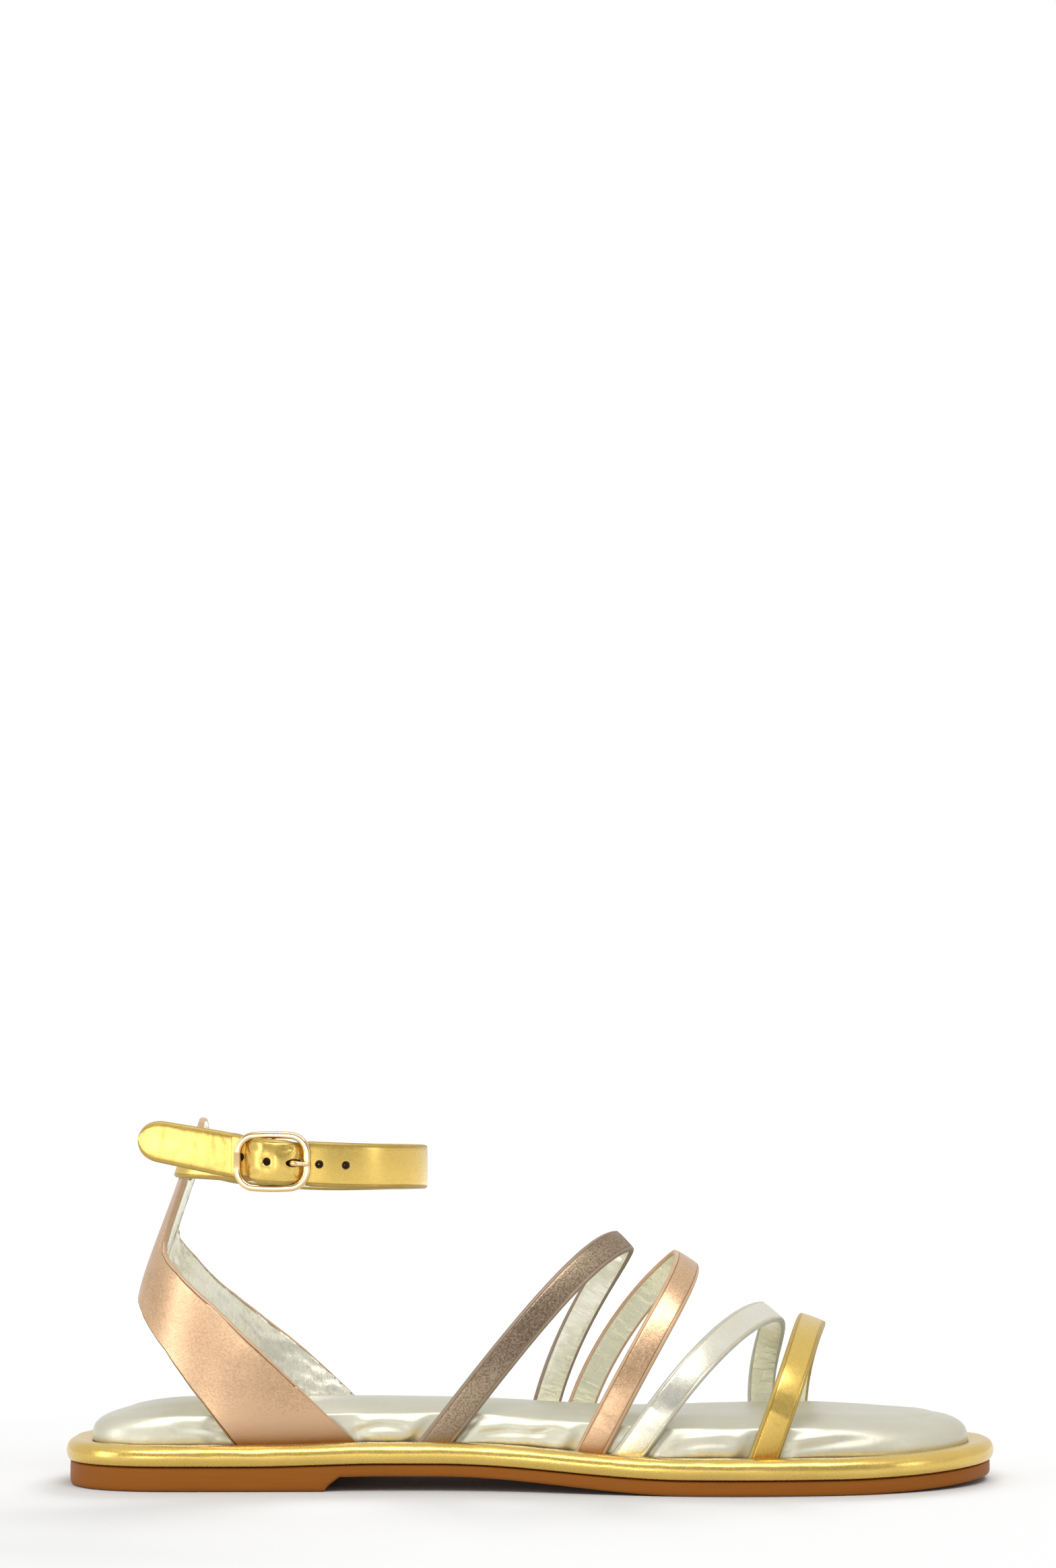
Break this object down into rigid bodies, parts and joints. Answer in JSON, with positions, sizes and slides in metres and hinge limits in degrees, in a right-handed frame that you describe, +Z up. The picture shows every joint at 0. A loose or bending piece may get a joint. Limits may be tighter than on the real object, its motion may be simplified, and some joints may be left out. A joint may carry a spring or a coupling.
{
  "type": "strappy flat sandal",
  "caption": "Right-foot flat sandal with a padded footbed, slim straps over the foot, a heel strap and a buckled ankle strap.",
  "frame": {"origin": "on the floor, under the middle of the sole's length and width", "axes": "+X toward the toe along the sole, +Y toward the medial (inner) side of the foot, +Z up"},
  "size_m": [0.2546, 0.081, 0.0992],
  "materials": {
    "outsole": "satin moulded tan-brown rubber",
    "gold_leather": "gold foil, satin, fine grain",
    "silver_leather": "pale silver foil, glossy, fine wrinkles",
    "rose_leather": "rose gold foil, satin, fine pebble grain",
    "taupe_leather": "dark taupe foil, satin, sparkling grain",
    "buckle_metal": "polished pale gold plating"
  },
  "bodies": {
    "root": {"outsole": "outsole", "rand": "gold_leather", "footbed_pad": "silver_leather", "instep_strap_taupe": "taupe_leather", "instep_strap_rose": "rose_leather", "forefoot_strap_silver": "silver_leather", "toe_strap_gold": "gold_leather", "heel_strap": "rose_leather", "ankle_strap": "gold_leather", "buckle_frame": "buckle_metal", "buckle_prong": "buckle_metal"}
  },
  "joints": []
}
